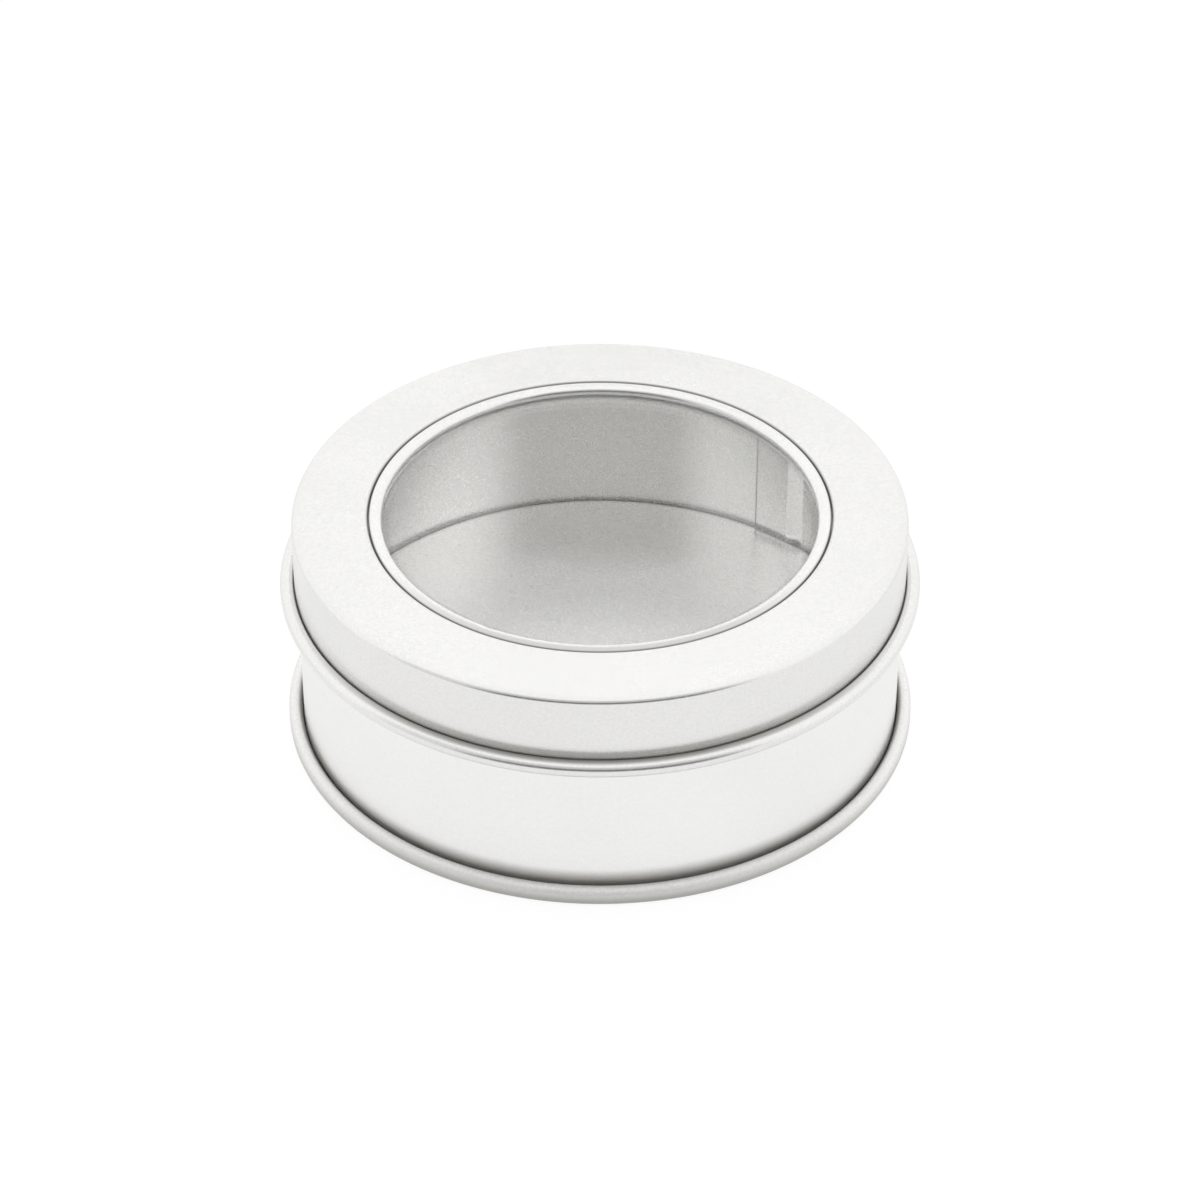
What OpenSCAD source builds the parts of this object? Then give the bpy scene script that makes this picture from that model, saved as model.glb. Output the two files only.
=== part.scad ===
// Round slip-lid tin with a clear window in the lid, in millimetres.
// The table is z = 0, the tin's axis is Z and the lid lifts off along +Z.
// Every metal piece is a sheet of one thickness that is bent along a path and then
// turned about the axis, so each bend, hook and curl is a true rolled section.

/* [Whole tin] */
// Height from the table to the flat top of the lid
total_height = 33.6; // [28:0.2:45]
// Thickness of the tinplate that all the metal pieces are pressed from
sheet = 0.25; // [0.2:0.01:0.28]

/* [Lid] */
// Outside diameter of the lid's skirt
lid_diameter = 85; // [75:1:100]
// Radius of the rounded edge between the lid's top and its skirt, on the outside
lid_edge_radius = 0.9; // [0.6:0.05:1.6]
// Distance from the lid's top down to the middle of the curl round its lower edge
skirt_depth = 10.57; // [8:0.1:14]
// Diameter of the curl round the lower edge of the skirt
lid_curl_diameter = 2.25; // [1.8:0.05:2.6]
// How far round the lid's curl is rolled, in degrees, before its raw edge meets the skirt
lid_curl_turn = 312; // [250:1:312]

/* [Window] */
// Inside diameter of the collar that the opening in the lid is turned down into
opening_diameter = 64; // [50:0.5:66]
// Depth of the turned-down collar below the lid's top
collar_depth = 1.6; // [1.2:0.1:2.4]
// Radius of the bend between the lid's top and the collar, on the outside
collar_edge_radius = 0.4; // [0.35:0.01:0.5]
// Width of the window ring, from the collar it is set into to the inside of its bead
ring_width = 1.95; // [1.85:0.05:6]
// Diameter of the bead rolled round the inner edge of the window ring
bead_diameter = 1.32; // [1.1:0.02:1.4]
// How far round the bead is rolled, in degrees
bead_turn = 300; // [200:5:310]
// Radius of the window ring's two bends, on the outside
ring_edge_radius = 0.4; // [0.35:0.01:0.5]
// How far the foot of the window ring is turned in under the pane
ring_foot_width = 1.1; // [0.8:0.1:1.6]
// Set-down of the window ring's land below the lid's top
ring_set_down = 0.03; // [0:0.01:0.2]
// Thickness of the clear pane
pane_thickness = 0.4; // [0.3:0.05:0.6]

/* [Body] */
// Diameter of the curl rolled inwards along the top edge of the body
rim_curl_diameter = 1.65; // [1.3:0.05:1.7]
// How far round the body's top curl is rolled, in degrees
rim_curl_turn = 300; // [220:5:320]
// Width of the lock seam up the side of the body, from fold to fold
lock_seam_width = 5; // [4:0.25:7]
// Bearing of the lock seam, in degrees clockwise from the back of the tin seen from above
lock_seam_bearing = 38; // [0:1:359]
// Length over which the inner leaf of the lock seam is set inwards from the wall
lock_seam_set_length = 2.2; // [1.8:0.1:3]
// Length of the body hook above its bend, inside the base rim
body_hook_length = 0.95; // [0.6:0.05:0.95]

/* [Bottom end] */
// Height of the tin's floor, its upper face, above the table
floor_height = 5.9; // [4:0.1:8]
// Radius of the edge where the floor turns down to its side wall, on the outside
floor_edge_radius = 0.7; // [0.5:0.05:1.2]
// How far the base rim stands out from the outside of the body
base_rim_overhang = 2.1; // [1.9:0.05:2.6]
// Height of the base rim
base_rim_height = 2.5; // [2.4:0.05:3.2]
// Radius of the base rim's two lower edges, on the outside
base_edge_radius = 0.72; // [0.5:0.01:0.8]
// Length of the cover hook below its bend, inside the base rim
cover_hook_length = 0.6; // [0.4:0.05:0.6]

/* [Clearances] */
// Gap all round between the lid's skirt and the body
lid_clearance = 0.15; // [0.1:0.01:0.3]
// Gap between the bottom end's side wall and the inside of the body
floor_wall_clearance = 0.05; // [0.03:0.01:0.1]
// Gap between the cover hook and the outside of the body
hook_to_wall_gap = 0.15; // [0.1:0.01:0.3]
// Gap between the body hook and the flat underside of the base rim
hook_to_base_gap = 0.1; // [0.05:0.01:0.15]
// Gap between the leaves of the lock seam
lock_seam_gap = 0.05; // [0.03:0.01:0.1]
// Width of the groove all round between the window ring and the collar it is set into
ring_groove = 0.12; // [0.02:0.01:0.2]
// Gap between the pane and the metal above and below it
pane_seat_gap = 0.02; // [0.01:0.01:0.05]
// Gap all round between the edge of the pane and the window ring's wall
pane_edge_gap = 0.15; // [0.12:0.01:0.3]

/* [Hidden] */
$fn = 96;
half_sheet = sheet / 2;

// Lid: radii and heights of the middle of its sheet
skirt_mid = lid_diameter / 2 - half_sheet;
lid_edge_mid = lid_edge_radius - half_sheet;
lid_curl_mid = lid_curl_diameter / 2 - half_sheet;
collar_mid = opening_diameter / 2 + half_sheet;
collar_edge_mid = collar_edge_radius - half_sheet;

// Window ring and pane
ring_wall_mid = opening_diameter / 2 - ring_groove - half_sheet;
ring_edge_mid = ring_edge_radius - half_sheet;
bead_mid = bead_diameter / 2 - half_sheet;
bead_centre = opening_diameter / 2 - ring_width + bead_diameter / 2;
ring_top = total_height - ring_set_down;
pane_top = ring_top - bead_diameter - pane_seat_gap;
pane_bottom = pane_top - pane_thickness;
ring_foot_mid = pane_bottom - pane_seat_gap - half_sheet;
ring_leg_length = ring_top - half_sheet - ring_foot_mid - 2 * ring_edge_mid;
pane_radius = ring_wall_mid - half_sheet - pane_edge_gap;

// Body: the lid rests with its top on the body's curl
wall_mid = lid_diameter / 2 - sheet - lid_clearance - half_sheet;
rim_curl_mid = rim_curl_diameter / 2 - half_sheet;
rim_curl_height = total_height - sheet - rim_curl_diameter / 2;

// Base rim: sheet positions from the tin's inside outwards
floor_wall_mid = wall_mid - sheet - floor_wall_clearance;
cover_hook_mid = wall_mid + sheet + hook_to_wall_gap;
rim_outer_mid = wall_mid + base_rim_overhang;
body_hook_mid = (cover_hook_mid + rim_outer_mid) / 2;
body_hook_bend = (body_hook_mid - wall_mid) / 2;
cover_hook_bend = (rim_outer_mid - cover_hook_mid) / 2;
base_edge_mid = base_edge_radius - half_sheet;
base_flat = rim_outer_mid - floor_wall_mid - 2 * base_edge_mid;
base_bend_height = half_sheet + base_edge_mid;
rim_bend_height = base_rim_height - half_sheet - cover_hook_bend;
body_hook_height = sheet + hook_to_base_gap + half_sheet + body_hook_bend;
floor_edge_mid = floor_edge_radius - half_sheet;

// Lock seam: the spacing of its four leaves, where it starts and stops up the wall, and how
// far its folds and the set of its inner leaf lie from its middle
leaf_pitch = sheet + lock_seam_gap;
seam_above_floor = 0.2;
seam_start = floor_height + seam_above_floor;
seam_stop = rim_curl_height - rim_curl_diameter;
seam_middle = (seam_start + seam_stop) / 2;
fold_distance = lock_seam_width / 2;
fold_bulge = lock_seam_gap / 2;
flap_end_gap = 0.2;
set_start = fold_distance + leaf_pitch + sheet;
set_stop = set_start + lock_seam_set_length;
seam_recess = 0.01;
join_overlap = 0.05;
widest_sector = 60;

metal = [0.86, 0.86, 0.85];
clear_plastic = [0.93, 0.95, 0.96, 0.25];

// Two kinds of step along a bent sheet: straight on, or round a bend.
// A bend has the radius of the sheet's middle and turns left when its angle is positive.
function straight(length) = ["straight", length];
function bend(radius, angle) = ["bend", radius, angle];

// Point at a distance from another in a direction
function point_from(at, distance, direction) = at + distance * [cos(direction), sin(direction)];

function is_bend(step) = step[0] == "bend";
function bend_centre(at, heading, step) = point_from(at, step[1], heading + 90 * sign(step[2]));
function bend_start_angle(heading, step) = heading - 90 * sign(step[2]);
function place_after(at, heading, step) =
    is_bend(step)
    ? point_from(bend_centre(at, heading, step), step[1], bend_start_angle(heading, step) + step[2])
    : point_from(at, step[1], heading);
function heading_after(heading, step) = is_bend(step) ? heading + step[2] : heading;

// Flat ring of sheet about the origin
module sheet_ring(radius, thickness = sheet) {
    difference() {
        circle(r = radius + thickness / 2);
        circle(r = radius - thickness / 2);
    }
}

// Flat sector that covers the angles from one direction to another, out past a radius
module sector_mask(radius, from, to) {
    count = ceil((to - from) / widest_sector);
    step = (to - from) / count;
    reach = 2 * radius / cos(step / 2);
    polygon(concat([[0, 0]], [for (i = [0 : count]) point_from([0, 0], reach, from + i * step)]));
}

// Piece of a sheet bent round a centre at the origin, from one direction to another
module curved_sheet(radius, from, to) {
    intersection() {
        sheet_ring(radius);
        sector_mask(radius, from, to);
    }
}

// Section of a sheet that follows steps from a place and a heading
module bent_sheet(at, heading, steps, i = 0) {
    if (i < len(steps)) {
        step = steps[i];
        if (is_bend(step)) {
            start = bend_start_angle(heading, step);
            translate(bend_centre(at, heading, step))
                curved_sheet(step[1], min(start, start + step[2]), max(start, start + step[2]));
        } else {
            translate(at)
                rotate(heading)
                    translate([0, -half_sheet])
                        square([step[1], sheet]);
        }
        bent_sheet(place_after(at, heading, step), heading_after(heading, step), steps, i + 1);
    }
}

// Middle radius of a leaf of the lock seam, counted from the outermost, 0, to the innermost, 3
function leaf_mid(leaf) = wall_mid - leaf * leaf_pitch;

// Point on a circle about the axis, at a distance to the left of the line through the seam
function at_side(radius, distance) = [sqrt(radius * radius - distance * distance), distance];

// Strip of one leaf, between two distances to the left of the line through the seam.
// That line runs from the axis along X.
module leaf_strip(leaf, from, to) {
    intersection() {
        sheet_ring(leaf_mid(leaf));
        translate([0, from])
            square([2 * wall_mid, to - from]);
    }
}

// Tight fold at the right-hand end of the seam that joins a leaf to the next but one.
// The sheet bulges a little in so tight a fold.
module fold(leaf) {
    intersection() {
        translate(at_side(leaf_mid(leaf + 1), -fold_distance))
            sheet_ring(leaf_pitch, sheet + 2 * fold_bulge);
        translate([0, -2 * fold_distance])
            square([2 * wall_mid, fold_distance + join_overlap]);
    }
}

// Straight strip of sheet that leads from the innermost leaf back out to the wall
module set_strip() {
    start = at_side(leaf_mid(3), -set_start);
    stop = at_side(wall_mid, -set_stop);
    along = stop - start;

    translate(start)
        rotate(atan2(along[1], along[0]))
            translate([-2 * sheet, -half_sheet])
                square([norm(along) + 4 * sheet, sheet]);
}

// Plan of the folded sheet on the inside of the wall. Fold by fold from the wall: the outer
// fold, the outer flap, and, hooked into them, the inner flap, the inner fold and the inner
// leaf, which the set strip leads back out to the wall.
module lock_seam_plan() {
    intersection() {
        union() {
            fold(0);
            leaf_strip(2, -fold_distance, fold_distance - flap_end_gap);
            leaf_strip(1, flap_end_gap - fold_distance, fold_distance);
            mirror([0, 1])
                fold(1);
            leaf_strip(3, -set_start, fold_distance);
            set_strip();
        }
        difference() {
            circle(r = wall_mid + half_sheet - seam_recess);
            circle(r = leaf_mid(3) - half_sheet - fold_bulge);
        }
    }
}

// Rolled wall of the tin: top edge curled in, side lock seam, lower edge hooked outwards
module body_wall() {
    color(metal) {
        difference() {
            rotate_extrude() {
                bent_sheet([wall_mid, seam_middle], -90, [
                    straight(seam_middle - body_hook_height),
                    bend(body_hook_bend, 180),
                    straight(body_hook_length),
                ]);
                bent_sheet([wall_mid, seam_middle], 90, [
                    straight(rim_curl_height - seam_middle),
                    bend(rim_curl_mid, rim_curl_turn),
                ]);
            }
            rotate([0, 0, 90 - lock_seam_bearing])
                translate([0, -set_stop, seam_start])
                    cube([2 * wall_mid, set_stop - fold_distance, seam_stop - seam_start]);
        }
        translate([0, 0, seam_start - join_overlap])
            linear_extrude(height = seam_stop - seam_start + 2 * join_overlap)
                rotate(90 - lock_seam_bearing)
                    lock_seam_plan();
    }
}

// Pressed floor whose edge is rolled round the body hook to make the base rim
module bottom_end() {
    color(metal)
        rotate_extrude()
            bent_sheet([0, floor_height - half_sheet], 0, [
                straight(floor_wall_mid - floor_edge_mid),
                bend(floor_edge_mid, -90),
                straight(floor_height - half_sheet - floor_edge_mid - base_bend_height),
                bend(base_edge_mid, 90),
                straight(base_flat),
                bend(base_edge_mid, 90),
                straight(rim_bend_height - base_bend_height),
                bend(cover_hook_bend, 180),
                straight(cover_hook_length),
            ]);
}

// Pressed lid: collar round the opening, flat top, skirt, and the curl on its lower edge
module lid_shell() {
    color(metal)
        rotate_extrude()
            bent_sheet([collar_mid, total_height - collar_depth], 90, [
                straight(collar_depth - half_sheet - collar_edge_mid),
                bend(collar_edge_mid, -90),
                straight(skirt_mid - lid_edge_mid - collar_mid - collar_edge_mid),
                bend(lid_edge_mid, -90),
                straight(skirt_depth - half_sheet - lid_edge_mid),
                bend(lid_curl_mid, lid_curl_turn),
            ]);
}

// Ring set into the lid's collar: foot under the pane, wall, land and bead over the pane
module window_ring() {
    color(metal)
        rotate_extrude()
            bent_sheet([ring_wall_mid - ring_edge_mid - ring_foot_width, ring_foot_mid], 0, [
                straight(ring_foot_width),
                bend(ring_edge_mid, 90),
                straight(ring_leg_length),
                bend(ring_edge_mid, 90),
                straight(ring_wall_mid - ring_edge_mid - bead_centre),
                bend(bead_mid, bead_turn),
            ]);
}

// Clear disc held between the bead and the foot of the window ring
module window_pane() {
    color(clear_plastic)
        translate([0, 0, pane_bottom])
            cylinder(r = pane_radius, h = pane_thickness);
}

body_wall();
bottom_end();
lid_shell();
window_ring();
window_pane();
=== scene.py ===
"""Looks of the round tin with a window in its lid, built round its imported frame.

Every metal piece is one sheet of tinplate. Its section is a path of straights and bends with
half the sheet's thickness laid on each side, and the section is turned about the tin's axis.
Sizes are in millimetres up to the moment a mesh is made, which is in metres.
"""

import math
from collections import namedtuple

import bpy
import numpy as np
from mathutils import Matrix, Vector


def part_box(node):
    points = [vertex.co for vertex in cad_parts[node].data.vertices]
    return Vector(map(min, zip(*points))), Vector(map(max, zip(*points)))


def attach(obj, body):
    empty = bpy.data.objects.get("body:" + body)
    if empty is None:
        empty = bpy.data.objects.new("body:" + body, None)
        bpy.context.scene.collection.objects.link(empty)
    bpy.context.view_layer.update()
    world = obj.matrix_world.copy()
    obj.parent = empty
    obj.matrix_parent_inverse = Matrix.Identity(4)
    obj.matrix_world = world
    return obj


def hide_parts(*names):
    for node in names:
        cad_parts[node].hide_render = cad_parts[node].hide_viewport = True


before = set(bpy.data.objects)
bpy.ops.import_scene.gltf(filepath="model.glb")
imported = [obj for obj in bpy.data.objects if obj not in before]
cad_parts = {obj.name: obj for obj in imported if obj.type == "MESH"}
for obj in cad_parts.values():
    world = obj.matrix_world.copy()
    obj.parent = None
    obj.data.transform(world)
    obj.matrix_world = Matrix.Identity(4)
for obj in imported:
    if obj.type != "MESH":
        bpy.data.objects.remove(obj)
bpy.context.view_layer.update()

# Sizes read from the frame, in millimetres
MM = 0.001


def box_mm(node):
    """Lowest and highest corner of a CAD node, in millimetres."""
    low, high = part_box(node)
    return np.array(low) / MM, np.array(high) / MM


lid_low, lid_high = box_mm("lid_shell")
wall_high = box_mm("body_wall")[1]
base_high = box_mm("bottom_end")[1]
ring_low, ring_high = box_mm("window_ring")
pane_low, pane_high = box_mm("window_pane")

SHEET = 0.25
HALF = SHEET / 2
TOP = lid_high[2]

# Lid
LID_CURL = 2.25
LID_CURL_TURN = 312
SKIRT_MID = lid_high[0] - LID_CURL + HALF
SKIRT_DEPTH = TOP - lid_low[2] - LID_CURL / 2
LID_EDGE = 0.9
COLLAR_INSIDE = 32.0
COLLAR_MID = COLLAR_INSIDE + HALF
COLLAR_DEPTH = 1.6
COLLAR_EDGE = 0.4

# Window ring and pane
RING_WALL_MID = ring_high[0] - HALF
RING_TOP = ring_high[2]
RING_EDGE = 0.4
RING_FOOT = 1.1
RING_FOOT_MID = ring_low[2] + HALF
BEAD = 1.32
BEAD_TURN = 300
RING_WIDTH = 1.95
BEAD_CENTRE = COLLAR_INSIDE - RING_WIDTH + BEAD / 2
PANE_RADIUS = pane_high[0]
PANE_EDGE = 0.06

# Body and lock seam
WALL_MID = 41.975
RIM_CURL = 1.65
RIM_CURL_TURN = 300
RIM_CURL_HEIGHT = wall_high[2] - RIM_CURL / 2
HOOK_HEIGHT = 1.1
HOOK_LENGTH = 0.95
HOOK_MID = wall_high[0] - HALF
SEAM_BEARING = 38
SEAM_HALF_WIDTH = 2.5
LEAF_PITCH = 0.3
FOLD_RADIUS = LEAF_PITCH + HALF
SEAM_EDGE = SEAM_HALF_WIDTH + FOLD_RADIUS
BRINK = 0.01
SET_START = SEAM_HALF_WIDTH + LEAF_PITCH + SHEET
SET_LENGTH = 2.2
SET_STOP = SET_START + SET_LENGTH
SEAM_LOW = 6.1
SEAM_HIGH = RIM_CURL_HEIGHT - RIM_CURL

# Bottom end
FLOOR = 5.9
FLOOR_EDGE = 0.7
FLOOR_GAP = 0.05
FLOOR_WALL_MID = WALL_MID - SHEET - FLOOR_GAP
RIM_MID = base_high[0] - HALF
COVER_HOOK_GAP = 0.15
COVER_HOOK_MID = WALL_MID + SHEET + COVER_HOOK_GAP
RIM_HEIGHT = 2.5
BASE_EDGE = 0.72
COVER_HOOK_LENGTH = 0.6

# Fineness of the meshes
BEND_STEP = 12
STRAIGHT_STEP = 1.6
ROUND_STEPS = 384
KEEP = 0.04


# Sections of bent sheet
def straight(length):
    """A straight step of a sheet's path."""
    return ("straight", length)


def bend(radius, angle):
    """A bend of a sheet's path, left for a positive angle in degrees."""
    return ("bend", radius, angle)


def follow(start, heading, steps):
    """Points and headings along the middle of a sheet.

    A straight runs on along its heading, with points kept close to both ends so that shading
    stays flat between them. A bend is an arc whose centre lies a radius to the side it turns to.
    """
    here, turn = np.array(start, float), math.radians(heading)
    points, turns = [], []
    for step in steps:
        if step[0] == "straight":
            keep = min(KEEP, step[1] / 3)
            count = max(1, math.ceil(step[1] / STRAIGHT_STEP))
            along = np.concatenate([[0], np.linspace(keep, step[1] - keep, count + 1), [step[1]]])
            points.append(here + along[:, None] * [math.cos(turn), math.sin(turn)])
            turns.append(np.full(len(along), turn))
            here = points[-1][-1]
        else:
            radius, angle = step[1], math.radians(step[2])
            side = math.copysign(1, angle)
            centre = here + side * radius * np.array([-math.sin(turn), math.cos(turn)])
            count = max(2, math.ceil(abs(step[2]) / BEND_STEP))
            headings = turn + np.linspace(0, angle, count + 1)
            arc = centre + side * radius * np.stack([np.sin(headings), -np.cos(headings)], 1)
            points.append(arc)
            turns.append(headings)
            here, turn = arc[-1], turn + angle
    points, turns = np.concatenate(points), np.concatenate(turns)
    fresh = np.r_[True, np.linalg.norm(np.diff(points, axis=0), axis=1) > 1e-6]
    return points[fresh], turns[fresh]


def end_cap(point, heading, way):
    """Half a circle round a sheet's raw edge, from its left side to its right or back again."""
    turns = heading + way * np.radians([45, 0, -45]) + (0 if way > 0 else math.pi)
    return point + HALF * np.stack([np.cos(turns), np.sin(turns)], 1)


def sheet_section(start, heading, steps, from_axis=False):
    """Outline of a sheet: its path moved half a thickness left and right, with round raw edges."""
    points, turns = follow(start, heading, steps)
    left = np.stack([-np.sin(turns), np.cos(turns)], 1) * HALF
    far_cap = end_cap(points[-1], turns[-1], 1)
    near_cap = end_cap(points[0], turns[0], -1)
    if from_axis:
        return np.concatenate([points + left, far_cap, (points - left)[::-1]])
    return np.concatenate([points + left, far_cap, (points - left)[::-1], near_cap])


# Meshes
def make_mesh(name, vertices, quads, triangles=()):
    """A smooth mesh in metres from vertices in millimetres, with its faces turned outwards.

    The faces point outwards when the sum of the tetrahedra they make with the origin is positive.
    """
    a, b, c, d = (vertices[quads[:, k]] for k in range(4))
    volume = np.sum(np.cross(a, b) * c) + np.sum(np.cross(a, c) * d)
    faces = [list(face) for face in quads.tolist()] + [list(face) for face in triangles]
    faces = faces if volume > 0 else [face[::-1] for face in faces]
    mesh = bpy.data.meshes.new(name)
    mesh.from_pydata((vertices * MM).tolist(), [], faces)
    mesh.polygons.foreach_set("use_smooth", np.ones(len(faces), bool))
    mesh.validate()
    piece = bpy.data.objects.new(name, mesh)
    bpy.context.scene.collection.objects.link(piece)
    return piece


def turned(name, outline, bearings, closed=True, shape=None):
    """Surface of revolution: point i of the outline at bearing j is (r sin b, r cos b, z).

    Bearings are clockwise from the back seen from above. A closed outline is joined end to
    start; an open one starts and ends on the axis, where its points are one point. A shape
    function may move the grid of radii and heights before it is turned.
    """
    r, b = np.meshgrid(outline[:, 0], np.radians(bearings), indexing="ij")
    z = np.meshgrid(outline[:, 1], bearings, indexing="ij")[0]
    if shape:
        r, z = shape(r, z, b)
    rows, columns = r.shape
    vertices = np.stack([r * np.sin(b), r * np.cos(b), z], -1).reshape(-1, 3)
    index = np.arange(rows * columns).reshape(rows, columns)
    if closed:
        rings, fans = np.concatenate([index, index[:1]]), []
    else:
        middle = np.arange(2) + (rows - 2) * columns
        rings, vertices = index[:-2], vertices[columns:-columns]
        vertices = np.concatenate([vertices, [[0, 0, outline[0, 1]], [0, 0, outline[-1, 1]]]])
        fans = [[int(middle[0]), i, (i + 1) % columns] for i in range(columns)]
        last = (rows - 3) * columns
        fans += [[int(middle[1]), last + (i + 1) % columns, last + i] for i in range(columns)]
    beside = np.roll(rings, -1, axis=1)
    quads = np.stack([rings[:-1], rings[1:], beside[1:], beside[:-1]], -1).reshape(-1, 4)
    return make_mesh(name, vertices, quads, fans)


def even_bearings():
    """Bearings all the way round, in even steps."""
    return np.arange(ROUND_STEPS) * 360 / ROUND_STEPS


# Lock seam, as the reach of the wall's two faces from the axis
def seam_knots():
    """Distances from the line through the seam at which its faces bend, and between them."""
    edge = SEAM_HALF_WIDTH + FOLD_RADIUS * np.sin(np.radians(np.arange(0, 91, 15)))
    brink = SEAM_EDGE + 1.5 * BRINK
    return np.concatenate([
        -edge, edge, [-brink, brink, brink + KEEP, brink + 0.3],
        [-SET_START, -SET_START + KEEP, -SET_START - KEEP],
        [-SET_STOP, -SET_STOP + KEEP, -SET_STOP - KEEP, -SET_STOP - 0.3],
        [SEAM_HALF_WIDTH - KEEP, KEEP - SEAM_HALF_WIDTH],
        np.linspace(-2, 2, 5), np.linspace(-SET_STOP, -SET_START, 6),
    ])


def seam_faces(distance):
    """Radii of the wall's outer and inner face at a distance from the line through the seam.

    Outside, the wall ends in the outer fold, and the set strip climbs back to it from the
    innermost leaf. Inside, the leaves end in the inner fold, and the set strip leads away.
    """
    outside, inside = WALL_MID + HALF, WALL_MID - HALF
    leaf_out = WALL_MID - 3 * LEAF_PITCH + HALF
    leaf_in = leaf_out - SHEET
    past = np.abs(distance) - SEAM_HALF_WIDTH
    bulge = np.sqrt(np.clip(FOLD_RADIUS ** 2 - np.clip(past, 0, FOLD_RADIUS) ** 2, 0, None))
    brink = SEAM_EDGE + BRINK
    slope = np.clip((-distance - SET_START) / (SET_STOP - SET_START), 0, 1)
    outer = np.where(distance < -brink, leaf_out + slope * (outside - leaf_out), outside)
    outer_fold = WALL_MID - LEAF_PITCH + bulge
    outer = np.where((distance < 0) & (distance >= -brink), np.minimum(outer, outer_fold), outer)
    inner = np.where(distance < 0, leaf_in + slope * (inside - leaf_in), inside)
    inner_fold = WALL_MID - 2 * LEAF_PITCH - bulge
    inner = np.where((distance >= 0) & (distance <= brink), inner_fold, inner)
    return outer, inner


def with_lock_seam(r, z, b):
    """Moves the wall's two faces to the lock seam's leaves, between the seam's two ends."""
    distance = r * np.sin(math.radians(SEAM_BEARING) - b)
    near = (np.cos(b - math.radians(SEAM_BEARING)) > 0.9) & (z > SEAM_LOW) & (z < SEAM_HIGH)
    outer, inner = seam_faces(distance)
    is_outer = near & (np.abs(r - WALL_MID - HALF) < 0.01)
    is_inner = near & (np.abs(r - WALL_MID + HALF) < 0.01)
    return np.where(is_outer, outer, np.where(is_inner, inner, r)), z


def wall_bearings():
    """Even bearings, with the knots of the lock seam put in and its crowded neighbours left out."""
    knots = SEAM_BEARING - np.degrees(np.arcsin(np.unique(seam_knots().round(4)) / WALL_MID))
    even = even_bearings()
    clear = np.abs((even[:, None] - knots + 180) % 360 - 180).min(1) > 0.15
    return np.sort(np.concatenate([even[clear], knots]))


# Small faults of the rolled bead: where it was nicked in the rolling, as bearing and width
NICKS = ((208.5, 0.9, 0.10), (156, 0.8, 0.09), (151.5, 0.6, 0.06), (341, 1.2, 0.05))


def nicked(r, z, b):
    """Presses small dents into the top of the bead, each a bell curve along the bearing."""
    on_bead = (r < BEAD_CENTRE + BEAD / 2) & (z > RING_TOP - BEAD / 2)
    for bearing, width, depth in NICKS:
        along = (b - math.radians(bearing)) * BEAD_CENTRE / width
        z = z - np.where(on_bead, depth * np.exp(-along ** 2), 0)
    return r, z


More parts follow.
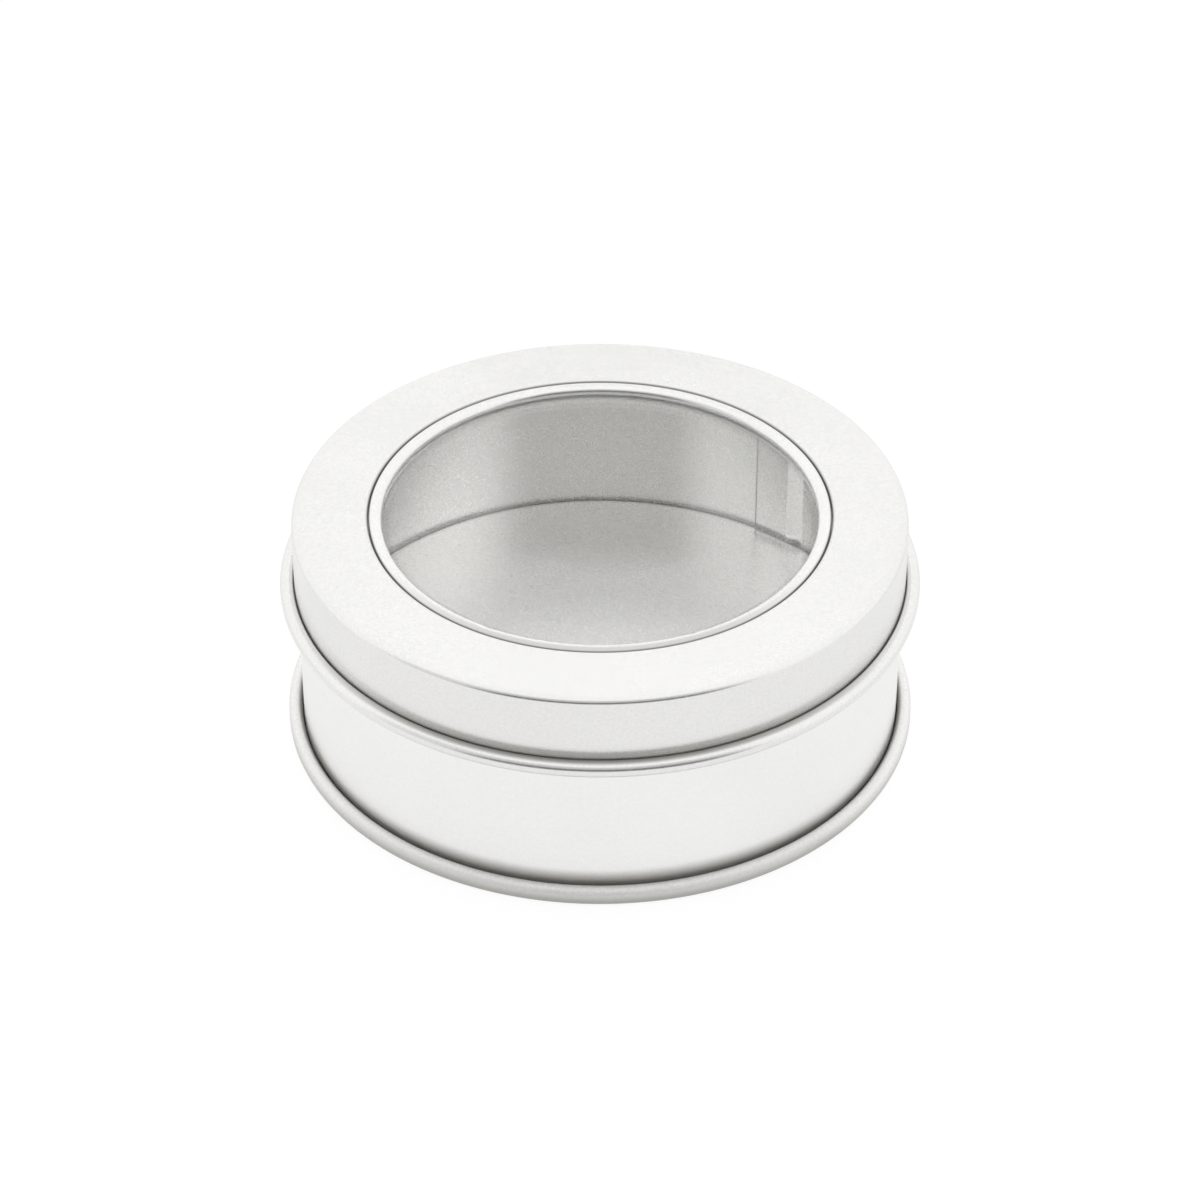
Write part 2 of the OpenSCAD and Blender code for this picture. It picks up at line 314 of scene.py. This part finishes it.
# Pieces
def build_pieces():
    """The five pieces of the tin, each standing for its CAD node."""
    wall_upper = [straight(RIM_CURL_HEIGHT - SEAM_HIGH), bend(RIM_CURL / 2 - HALF, RIM_CURL_TURN)]
    hook_bend = (HOOK_MID - WALL_MID) / 2
    wall_lines = sheet_section(
        [HOOK_MID, HOOK_HEIGHT + HOOK_LENGTH], -90,
        [straight(HOOK_LENGTH), bend(hook_bend, -180),
         straight(SEAM_LOW - HOOK_HEIGHT), straight(SEAM_HIGH - SEAM_LOW), *wall_upper])
    body_wall = turned("body_wall_sheet", wall_lines, wall_bearings(), shape=with_lock_seam)

    base_bend = BASE_EDGE - HALF
    hook = (RIM_MID - COVER_HOOK_MID) / 2
    rim_bend = RIM_HEIGHT - HALF - hook
    bottom_lines = sheet_section(
        [0, FLOOR - HALF], 0,
        [straight(FLOOR_WALL_MID - FLOOR_EDGE + HALF), bend(FLOOR_EDGE - HALF, -90),
         straight(FLOOR - FLOOR_EDGE - HALF - base_bend), bend(base_bend, 90),
         straight(RIM_MID - FLOOR_WALL_MID - 2 * base_bend), bend(base_bend, 90),
         straight(rim_bend - HALF - base_bend), bend(hook, 180), straight(COVER_HOOK_LENGTH)],
        from_axis=True)
    bottom_end = turned("bottom_end_sheet", bottom_lines, even_bearings(), closed=False)

    lid_bend, collar_bend = LID_EDGE - HALF, COLLAR_EDGE - HALF
    lid_lines = sheet_section(
        [COLLAR_MID, TOP - COLLAR_DEPTH], 90,
        [straight(COLLAR_DEPTH - COLLAR_EDGE), bend(collar_bend, -90),
         straight(SKIRT_MID - lid_bend - COLLAR_MID - collar_bend), bend(lid_bend, -90),
         straight(SKIRT_DEPTH - LID_EDGE), bend(LID_CURL / 2 - HALF, LID_CURL_TURN)])
    lid_shell = turned("lid_sheet", lid_lines, even_bearings())

    ring_bend = RING_EDGE - HALF
    ring_lines = sheet_section(
        [RING_WALL_MID - ring_bend - RING_FOOT, RING_FOOT_MID], 0,
        [straight(RING_FOOT), bend(ring_bend, 90),
         straight(RING_TOP - HALF - RING_FOOT_MID - 2 * ring_bend), bend(ring_bend, 90),
         straight(RING_WALL_MID - ring_bend - BEAD_CENTRE), bend(BEAD / 2 - HALF, BEAD_TURN)])
    window_ring = turned("window_ring_sheet", ring_lines, ring_bearings(), shape=nicked)

    corner = PANE_EDGE * (1 - np.cos(np.radians([0, 30, 60, 90])))
    rise = PANE_EDGE * (1 - np.sin(np.radians([0, 30, 60, 90])))
    low, high = pane_low[2], pane_high[2]
    flat = np.linspace(0, PANE_RADIUS - PANE_EDGE, 12)[:-1]
    pane_lines = np.concatenate([
        np.stack([flat, np.full_like(flat, high)], 1),
        np.stack([PANE_RADIUS - corner[::-1], high - rise[::-1]], 1),
        np.stack([PANE_RADIUS - corner, low + rise], 1),
        np.stack([flat[::-1], np.full_like(flat, low)], 1)])
    window_pane = turned("window_pane_sheet", pane_lines, even_bearings(), closed=False)
    return body_wall, bottom_end, lid_shell, window_ring, window_pane


def ring_bearings():
    """Even bearings with more of them at the nicks."""
    close = np.linspace(-2.5, 2.5, 9)
    extra = np.concatenate([bearing + width * close for bearing, width, _ in NICKS])
    return np.unique(np.concatenate([even_bearings(), extra]).round(3))


# Shader maths
class Wire:
    """A value in a node tree, on which arithmetic adds Math nodes."""

    def __init__(self, tree, socket):
        self.tree, self.socket = tree, socket

    def math(self, operation, other=None, swap=False):
        """One Math node on this value and another."""
        inputs = [self] if other is None else [other, self] if swap else [self, other]
        settings = {"operation": operation}
        return add(self.tree, "ShaderNodeMath", settings, dict(enumerate(inputs))).out(0)

    def __add__(self, other):
        return self.math("ADD", other)

    def __sub__(self, other):
        return self.math("SUBTRACT", other)

    def __rsub__(self, other):
        return self.math("SUBTRACT", other, swap=True)

    def __mul__(self, other):
        return self.math("MULTIPLY", other)

    def __truediv__(self, other):
        return self.math("DIVIDE", other)

    def __pow__(self, other):
        return self.math("POWER", other)

    __radd__, __rmul__ = __add__, __mul__

    def within(self, low, high):
        """This value mapped smoothly to 0 below low and 1 above high."""
        settings = {"interpolation_type": "SMOOTHSTEP"}
        inputs = {"Value": self, "From Min": low, "From Max": high}
        return add(self.tree, "ShaderNodeMapRange", settings, inputs).out("Result")


class Added:
    """A node just added, whose outputs are read as wires."""

    def __init__(self, tree, node):
        self.tree, self.node = tree, node

    def out(self, name):
        """The output of that name or number."""
        return Wire(self.tree, self.node.outputs[name])


def add(tree, kind, settings=None, inputs=None):
    """A node of any kind: its settings first, then the values and links of its sockets."""
    node = tree.nodes.new(kind)
    for name, value in (settings or {}).items():
        setattr(node, name, value)
    for name, value in (inputs or {}).items():
        if isinstance(value, Wire):
            tree.links.new(value.socket, node.inputs[name])
        else:
            node.inputs[name].default_value = value
    return Added(tree, node)


def new_material(name):
    """An empty material with its output node."""
    material = bpy.data.materials.new(name)
    material.use_nodes = True
    material.node_tree.nodes.clear()
    return material, material.node_tree, material.node_tree.nodes.new("ShaderNodeOutputMaterial")


def mottle(tree, place, size_mm, detail=3.0, stretch=(1, 1, 1)):
    """Noise whose blotches are about a size across, stretched along the piece's own axes."""
    settings = {"vector_type": "POINT"}
    scale = tuple(1 / (size_mm * MM * s) for s in stretch)
    mapped = add(tree, "ShaderNodeMapping", settings, {"Vector": place, "Scale": scale})
    inputs = {"Vector": mapped.out(0), "Scale": 1.0, "Detail": detail, "Roughness": 0.55}
    return add(tree, "ShaderNodeTexNoise", {}, inputs).out(0)


# Finish of the tinplate: the colour of its film and of the shade painted into its crevices, sizes
# of the marks in millimetres, how much each of them changes the tone between dull and pale, and the
# height of the grain
# Dark colour of the film, also painted into the crevices as shade
FILM_AND_PAINTED_SHADE_COLOUR = (0.30, 0.295, 0.26)
GRAIN_SIZE, CLOUD_SIZE, SMEAR_SIZE, LINE_SIZE = 0.38, 16, 5, 1.0
GRAIN_TONE, CLOUD_TONE, SMEAR_TONE, LINE_TONE = 4.0, 0.9, 0.4, 0.3
PALE, DULL = 1.015, 0.955
GRAIN_HEIGHT, GRAIN_BUMP = 0.012, 0.5
OUTER_GRAIN, OUTER_FILM, SEAM_FILM = 0.25, 0.05, 0.35
FILM_ROUGHNESS, RIM_ROUGHNESS, UNDER_ROUGHNESS = 0.5, 0.35, 0.45
ROUGH_CLOUDS, ROUGH_GRAIN = 0.05, 0.15
# Bearings over which the painted crevice shade grows to full at the front, towards the camera
FRONT = (0.35, 0.95)
SEAM_FILM_WIDTH = (0.1, 0.5)
RIM_START = (WALL_MID + 0.2, WALL_MID + 0.6)
# Heights below which the window ring is painted white as light, lifting the shade under its bead,
# and made rougher
UNDER_START = (RING_TOP - 0.75, RING_TOP - 0.6)
LEAST_GLOSS = 0.062

# A circle round the axis where shade is painted: where it lies, how far it is full, where it ends,
# how strong it is, and what share is left away from the front
Crevice = namedtuple("Crevice", "radius height thick end strength elsewhere")


def in_metres(sizes):
    """Sizes in millimetres as metres."""
    return [size * MM for size in sizes]


def painted_crevice_shade(x, y, z, reach, crevices):
    """How much shade is painted into the crevices, each of them a circle round the axis.

    The painted shade is full as far as its thick distance from the circle and thins to nothing
    at its end; it is darkest at the front, towards the camera, where the studio is open. Elsewhere
    is the share of its strength that is left away from the front, where front is how far the
    bearing is towards -Y.
    """
    # Painted shade is darker at the front, the camera side, where the studio is open
    front = (0 - y / reach.math("MAXIMUM", MM)).within(*FRONT)
    painted_shade_and_film = reach * 0
    for spot in crevices:
        aside, above = reach - spot.radius * MM, z - spot.height * MM
        away = (aside * aside + above * above).math("SQRT")
        dense = (front * (1 - spot.elsewhere) + spot.elsewhere) * spot.strength
        painted_shade_and_film = painted_shade_and_film.math("MAXIMUM", (1 - away.within(spot.thick * MM, spot.end * MM)) * dense)
    return painted_shade_and_film


def tinplate(name, colour, roughness, grain_depth, crevices, part=None):
    """Satin tinplate: a bright metal with a fine mottled grain, faint rolling lines and smears.

    The rolling lines are noise drawn out along X on a flat piece, and round the wall on the wall.
    The wall is smoother outside than inside, with a thin film all over and a thicker one along
    its seam. Shade is painted in a dark colour into the crevices, most of it at the front. The base
    rim is rougher than the floor, and the window ring is matt underneath and painted white there,
    as painted light that lifts the shade below its bead.
    """
    material, tree, output = new_material(name)
    place = add(tree, "ShaderNodeTexCoord").out("Object")
    parts = add(tree, "ShaderNodeSeparateXYZ", {}, {0: place})
    x, y, z = parts.out(0), parts.out(1), parts.out(2)
    reach = (x * x + y * y).math("SQRT")
    grain = mottle(tree, place, GRAIN_SIZE, 3.0)
    clouds = mottle(tree, place, CLOUD_SIZE, 2.0)
    smears = mottle(tree, place, SMEAR_SIZE, 4.0, (2.2, 1, 1))
    drawn_out = (9, 9, 0.10) if part == "wall" else (30, 0.12, 0.12)
    lines = mottle(tree, place, LINE_SIZE, 2.0, drawn_out)
    speck = (grain - 0.5) * grain_depth
    # Painted crevice shade, mixed into the colour below in the film's dark colour
    painted_shade_and_film = painted_crevice_shade(x, y, z, reach, crevices)
    base_rough = roughness
    if part == "wall":
        outside = reach.math("GREATER_THAN", WALL_MID * MM)
        speck = speck * (1 - outside * (1 - OUTER_GRAIN))
        turn = math.radians(SEAM_BEARING)
        aside = y * math.sin(turn) - x * math.cos(turn)
        away = (aside - SEAM_EDGE * MM).math("ABSOLUTE").within(*in_metres(SEAM_FILM_WIDTH))
        inside = (1 - outside) * x.math("GREATER_THAN", 0.0)
        painted_shade_and_film = painted_shade_and_film.math("MAXIMUM", (1 - away) * inside * SEAM_FILM)
        painted_shade_and_film = painted_shade_and_film.math("MAXIMUM", outside * OUTER_FILM)
    if part == "base":
        base_rough = roughness + reach.within(*in_metres(RIM_START)) * RIM_ROUGHNESS

    pale = tuple(min(1, c * PALE) for c in colour)
    dull = tuple(c * DULL for c in colour)
    tone = 0.5 + (clouds - 0.5) * CLOUD_TONE + (smears - 0.5) * SMEAR_TONE
    tone = tone + (lines - 0.5) * LINE_TONE + speck * GRAIN_TONE
    blend = add(tree, "ShaderNodeMix", {"data_type": "RGBA"}, {
        "Factor": tone.within(0.0, 1.0), 6: (*dull, 1), 7: (*pale, 1)}).out(2)
    if part == "ring":
        # Painted light: white mixed in underneath the bead, lifting the shade there
        under = 1 - z.within(*in_metres(UNDER_START))
        blend = add(tree, "ShaderNodeMix", {"data_type": "RGBA"}, {
            "Factor": under, 6: blend, 7: (1, 1, 1, 1)}).out(2)
        base_rough = roughness + under * UNDER_ROUGHNESS
    # Mixes in the dark colour where shade is painted in the crevices and where the film lies
    blend = add(tree, "ShaderNodeMix", {"data_type": "RGBA"}, {
        "Factor": painted_shade_and_film, 6: blend, 7: (*FILM_AND_PAINTED_SHADE_COLOUR, 1)}).out(2)
    rough = base_rough + painted_shade_and_film * FILM_ROUGHNESS
    rough = rough + (clouds + smears - 1) * ROUGH_CLOUDS + speck * ROUGH_GRAIN
    bump = add(tree, "ShaderNodeBump", {}, {
        "Strength": GRAIN_BUMP, "Distance": GRAIN_HEIGHT * MM,
        "Height": speck + lines * 0.2}).out(0)
    shader = add(tree, "ShaderNodeBsdfPrincipled", {}, {
        "Base Color": blend, "Metallic": 1.0, "Roughness": rough, "Normal": bump})
    tree.links.new(shader.node.outputs[0], output.inputs["Surface"])
    return material


def clear_sheet(name):
    """Clear plastic sheet: seen through, with a mirror gloss that grows towards a grazing view."""
    material, tree, output = new_material(name)
    place = add(tree, "ShaderNodeTexCoord").out("Object")
    ripple = mottle(tree, place, 9, 1.0)
    haze = mottle(tree, place, 3, 3.0)
    bump = add(tree, "ShaderNodeBump", {}, {
        "Strength": 0.2, "Distance": 0.02 * MM, "Height": ripple}).out(0)
    facing = add(tree, "ShaderNodeLayerWeight", {}, {"Blend": 0.5}).out("Facing")
    gloss = LEAST_GLOSS + (1 - LEAST_GLOSS) * facing ** 5.0 + (haze - 0.5) * 0.008
    clear = add(tree, "ShaderNodeBsdfTransparent", {}, {"Color": (1, 0.998, 0.993, 1)})
    shine = add(tree, "ShaderNodeBsdfPrincipled", {}, {
        "Base Color": (0.97, 0.98, 0.98, 1), "Metallic": 1.0, "Roughness": 0.04, "Normal": bump})
    mix = add(tree, "ShaderNodeMixShader", {}, {0: gloss})
    tree.links.new(clear.node.outputs[0], mix.node.inputs[1])
    tree.links.new(shine.node.outputs[0], mix.node.inputs[2])
    tree.links.new(mix.node.outputs[0], output.inputs["Surface"])
    return material


pieces = build_pieces()
NODES = ("body_wall", "bottom_end", "lid_shell", "window_ring", "window_pane")
BODIES = {"body_wall": "tin", "bottom_end": "tin"}

# Where shade is painted in the film's dark colour: along the base rim and the floor's edge, above
# the lid's curl and on the curl itself, and in the groove between the window ring and the collar,
# most of it at the front
WALL_CREVICES = [
    Crevice(WALL_MID + HALF + 0.1, 2.3, 0.2, 0.8, 0.6, 1.0),
    Crevice(WALL_MID + HALF + 0.2, 2.2, 0.2, 2.9, 0.58, 0.1),
]
BASE_CREVICES = [
    Crevice(COVER_HOOK_MID, 1.9, 0.2, 0.9, 0.63, 1.0),
    Crevice(WALL_MID - HALF, FLOOR - 0.3, 0.0, 1.4, 0.4, 1.0),
    Crevice(RIM_MID + HALF, -0.3, 0.3, 3.4, 0.55, 0.8),
]
SKIRT_FACE, SKIRT_END = SKIRT_MID + HALF, TOP - SKIRT_DEPTH
LID_CREVICES = [
    Crevice(SKIRT_FACE + 0.1, SKIRT_END + 0.8, 0.0, 0.4, 0.75, 0.8),
    Crevice(SKIRT_FACE + 0.1, SKIRT_END + 0.75, 0.2, 1.3, 0.22, 0.0),
    Crevice(SKIRT_FACE + 0.75, SKIRT_END + 1.0, 0.3, 0.8, 0.5, 0.0),
    Crevice(COLLAR_INSIDE, TOP - 0.4, 0.2, 0.55, 0.7, 1.0),
]
RING_CREVICES = [
    Crevice(RING_WALL_MID + HALF, RING_TOP - 0.4, 0.2, 0.5, 0.7, 1.0),
    Crevice(RING_WALL_MID + HALF - 0.2, RING_TOP - 0.1, 0.4, 1.0, 0.38, 0.0),
]
FINISHES = {
    "body_wall": tinplate(
        "wall_tinplate", (1.0, 0.995, 0.985), 0.29, 1.9, WALL_CREVICES, "wall"),
    "bottom_end": tinplate(
        "base_tinplate", (0.98, 0.975, 0.965), 0.25, 2.1, BASE_CREVICES, "base"),
    "lid_shell": tinplate("lid_tinplate", (0.86, 0.855, 0.845), 0.25, 0.65, LID_CREVICES),
    "window_ring": tinplate(
        "ring_tinplate", (0.89, 0.885, 0.875), 0.24, 0.45, RING_CREVICES, "ring"),
    "window_pane": clear_sheet("pane_plastic"),
}
for piece, node in zip(pieces, NODES):
    piece.data.materials.append(FINISHES[node])
    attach(piece, BODIES.get(node, "lid"))
    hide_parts(node)


# Studio: strengths of the tent and floor, and where the tent's parts begin and end, given as
# parts of a direction one unit long, or as the slant of that direction away from straight ahead
TENT = 1.06
OPENING_SIDES = (0.55, 0.85)
OPENING_TOP = (0.70, 0.90)
OPENING_DEPTH = 0.42
OPENING_FOOT = (0.35, 0.50)
OPENING_FOOT_DEPTH = 0.85
SIDE_LEFT = (0.0, 0.3)
SIDE_BACK = (0.10, 0.35)
SIDE_DEPTH = 0.25
AHEAD = (0.3, 0.4)
SLOT_SIDES = (0.021, 0.037)
SLOT_FOOT = (0.525, 0.545)
SLOT_TOP = (0.586, 0.594)
SLOT_DEPTH = 0.95
PANEL_SIDES = (0.045, 0.085)
PANEL_FOOT = (0.586, 0.612)
PANEL_TOP = (0.609, 0.620)
PANEL = 1.9
FLOOR_REACH = 6000.0
FLOOR_MATT = 0.88
FLOOR_SHADOW = 0.17
FLOOR_LIFT = 0.87
FLOOR_GLOSS_MATT = 0.25
FLOOR_GLOSS_LIFT = 0.74


def studio_floor():
    """A large white floor with the tin's soft shadow, lifted to plain white for the camera."""
    corners = np.array([[-1, -1, 0], [1, -1, 0], [1, 1, 0], [-1, 1, 0]]) * FLOOR_REACH
    floor = make_mesh("floor", corners, np.array([[0, 1, 2, 3]]))
    material, tree, output = new_material("floor_white")
    path = add(tree, "ShaderNodeLightPath")
    camera = path.out("Is Camera Ray").math("MAXIMUM", path.out("Is Transmission Ray"))
    glossy = path.out("Is Glossy Ray")
    level = FLOOR_MATT - camera * (FLOOR_MATT - FLOOR_SHADOW)
    level = level - glossy * (FLOOR_MATT - FLOOR_GLOSS_MATT)
    tint = add(tree, "ShaderNodeCombineColor", {}, {0: level, 1: level, 2: level}).out(0)
    matt = add(tree, "ShaderNodeBsdfDiffuse", {}, {"Color": tint})
    lift = camera * FLOOR_LIFT + glossy * FLOOR_GLOSS_LIFT
    glow = add(tree, "ShaderNodeEmission", {}, {"Color": (1, 1, 1, 1), "Strength": lift})
    both = add(tree, "ShaderNodeAddShader")
    tree.links.new(matt.node.outputs[0], both.node.inputs[0])
    tree.links.new(glow.node.outputs[0], both.node.inputs[1])
    tree.links.new(both.node.outputs[0], output.inputs["Surface"])
    floor.data.materials.append(material)


def studio_air():
    """White all round for the camera. Light and gloss find a white tent that is darker on the
    side towards the camera, where it is open. Its far wall has a narrow dark slot and a bright
    panel over it, which only a clear gloss such as the pane's shows.
    """
    world = bpy.data.worlds.new("studio")
    bpy.context.scene.world = world
    world.use_nodes = True
    tree = world.node_tree
    tree.nodes.clear()
    way = add(tree, "ShaderNodeTexCoord").out("Generated")
    parts = add(tree, "ShaderNodeSeparateXYZ", {}, {0: way})
    x, y, up = parts.out(0), parts.out(1), parts.out(2)
    flat = (x * x + y * y).math("SQRT")
    to_camera = 0 - y / flat.math("MAXIMUM", 0.001)
    opening = to_camera.within(*OPENING_SIDES) * (1 - up.within(*OPENING_TOP))
    foot = 1 - up.within(*OPENING_FOOT)
    opening = opening * (OPENING_DEPTH + foot * (OPENING_FOOT_DEPTH - OPENING_DEPTH))
    across = (x / y.math("MAXIMUM", 0.01)).math("ABSOLUTE")
    ahead = y.within(*AHEAD)
    slot = ahead * (1 - across.within(*SLOT_SIDES))
    slot = slot * up.within(*SLOT_FOOT) * (1 - up.within(*SLOT_TOP))
    panel = ahead * (1 - across.within(*PANEL_SIDES))
    panel = panel * up.within(*PANEL_FOOT) * (1 - up.within(*PANEL_TOP))
    side = (0 - x / flat.math("MAXIMUM", 0.001)).within(*SIDE_LEFT) * to_camera.within(*SIDE_BACK)
    opening = opening.math("MAXIMUM", side * (1 - up.within(*OPENING_TOP)) * SIDE_DEPTH)
    room = TENT * (1 - opening) * (1 - slot * SLOT_DEPTH) * (1 + panel * PANEL)
    camera = add(tree, "ShaderNodeLightPath").out("Is Camera Ray")
    strength = camera + (1 - camera) * room
    back = add(tree, "ShaderNodeBackground", {}, {"Color": (1, 1, 1, 1), "Strength": strength})
    output = add(tree, "ShaderNodeOutputWorld")
    tree.links.new(back.node.outputs[0], output.node.inputs[0])


def photo_camera():
    """The photograph's view: 36.8 degrees down on the tin's axis, as fitted to its outlines."""
    pitch, distance, aim_height = math.radians(36.79), 0.5453, 0.0181
    data = bpy.data.cameras.new("camera")
    data.sensor_width, data.lens = 36, 36 * 3893.2 / 1200
    data.clip_start, data.clip_end = 0.01, 100
    camera = bpy.data.objects.new("camera", data)
    back = Vector((0, -math.cos(pitch), math.sin(pitch)))
    camera.location = Vector((0, 0, aim_height)) + back * distance
    camera.rotation_euler = (-back).to_track_quat("-Z", "Y").to_euler()
    bpy.context.scene.collection.objects.link(camera)
    bpy.context.scene.camera = camera


studio_floor()
studio_air()
photo_camera()
scene = bpy.context.scene
scene.view_settings.view_transform = "Standard"
scene.cycles.max_bounces = 24
scene.cycles.glossy_bounces = 16
scene.cycles.transparent_max_bounces = 24
